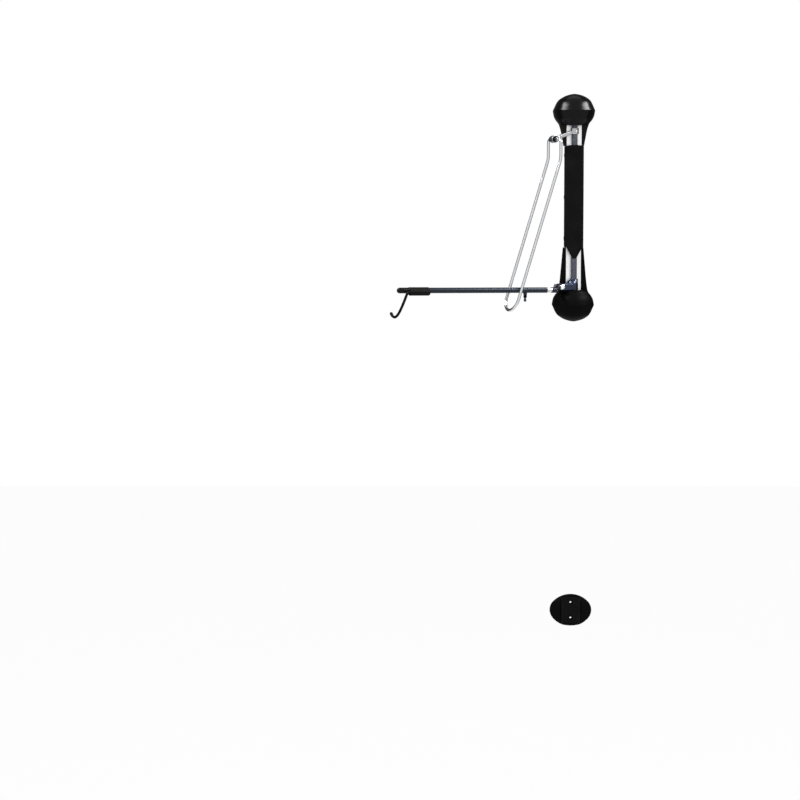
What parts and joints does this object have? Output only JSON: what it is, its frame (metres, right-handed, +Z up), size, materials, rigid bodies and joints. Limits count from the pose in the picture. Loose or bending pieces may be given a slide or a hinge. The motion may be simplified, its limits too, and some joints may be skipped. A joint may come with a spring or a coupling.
{
  "type": "wall-mounted bike rack",
  "caption": "Wall upright with a swinging, folding, telescopic arm that hooks a wheel, a hanging wire loop that guides the tyre, and a separate tyre rest lower on the wall.",
  "frame": {"origin": "centre of the four wall holes, on the wall plane behind the upright", "axes": "+Z up along the upright, +Y into the wall, +X to the right for someone facing the wall; the rack stands off the wall towards -Y"},
  "size_m": [0.5663, 0.3324, 1.4855],
  "materials": {
    "zinc": "zinc-plated steel, satin",
    "chrome": "bright chrome plate",
    "dark_steel": "smooth dark blue-grey powder coat, semi-gloss",
    "gloss_black": "moulded black plastic, glossy",
    "matt_black": "black plastic with a fine grain, matt",
    "rubber": "black rubber, dull",
    "coated_black": "steel rod with a soft black coating",
    "nylon": "natural nylon",
    "bronze": "sintered bronze"
  },
  "bodies": {
    "wall_unit": {"top_wall_plate": "zinc", "bottom_wall_plate": "zinc", "upright": "zinc", "top_bearing_bracket": "zinc", "bottom_bearing_bracket": "zinc", "bracket_bolts": "zinc", "rivet_nuts": "zinc", "top_bush": "nylon", "bottom_bush": "nylon", "front_cover": "matt_black", "cover_rivets": "matt_black", "top_cap": "gloss_black", "bottom_cap": "gloss_black", "cap_screws": "zinc", "tyre_rest": "gloss_black", "rest_liner": "rubber"},
    "swivel": {"pivot_tube": "dark_steel", "tube_plugs": "matt_black", "retaining_rings": "dark_steel", "top_collar": "chrome", "hanger_link": "chrome", "link_bush": "nylon", "arm_clevis": "dark_steel", "collar_pins": "zinc", "hinge_pin": "zinc", "hinge_nut": "zinc", "hinge_washers": "nylon"},
    "loop": {"guide_loop": "chrome", "loop_pivot_tube": "chrome", "loop_collars": "matt_black"},
    "arm": {"arm_root": "dark_steel", "hinge_bush": "bronze", "inner_tube": "chrome", "root_pin": "zinc"},
    "extension": {"arm_tube": "dark_steel", "end_ring": "nylon", "clamp_boss": "dark_steel", "end_sleeve": "rubber", "grip_tip": "rubber", "hook_rod": "coated_black", "hook_tip": "rubber"},
    "clamp": {"clamp_screw": "chrome", "clamp_knob": "matt_black"}
  },
  "joints": [
    {"name": "swing", "type": "hinge", "parent": "wall_unit", "child": "swivel", "pos_m": [0, -0.06, 0], "axis": [0, 0, 1], "range_deg": [-16, 144]},
    {"name": "arm_fold", "type": "hinge", "parent": "swivel", "child": "arm", "pos_m": [-0.03955, -0.07929, -0.2165], "axis": [-0.4384, 0.8988, 0], "range_deg": [0, 84]},
    {"name": "loop_swing", "type": "hinge", "parent": "swivel", "child": "loop", "pos_m": [-0.05932, -0.08893, 0.188], "axis": [0.4384, -0.8988, 0], "range_deg": [0, 14]},
    {"name": "arm_length", "type": "slide", "parent": "arm", "child": "extension", "axis": [-0.8987, -0.4383, 0.014], "range_m": [-0.01, 0.06]},
    {"name": "clamp_turn", "type": "hinge", "parent": "extension", "child": "clamp", "pos_m": [-0.13925, -0.15795, -0.22227], "axis": [0.0125, 0.0061, 0.9999], "range_deg": [0, 180]}
  ],
  "couplings": [
    {"joint": "loop_swing", "follows": "arm_fold", "ratio": 0.16666}
  ]
}
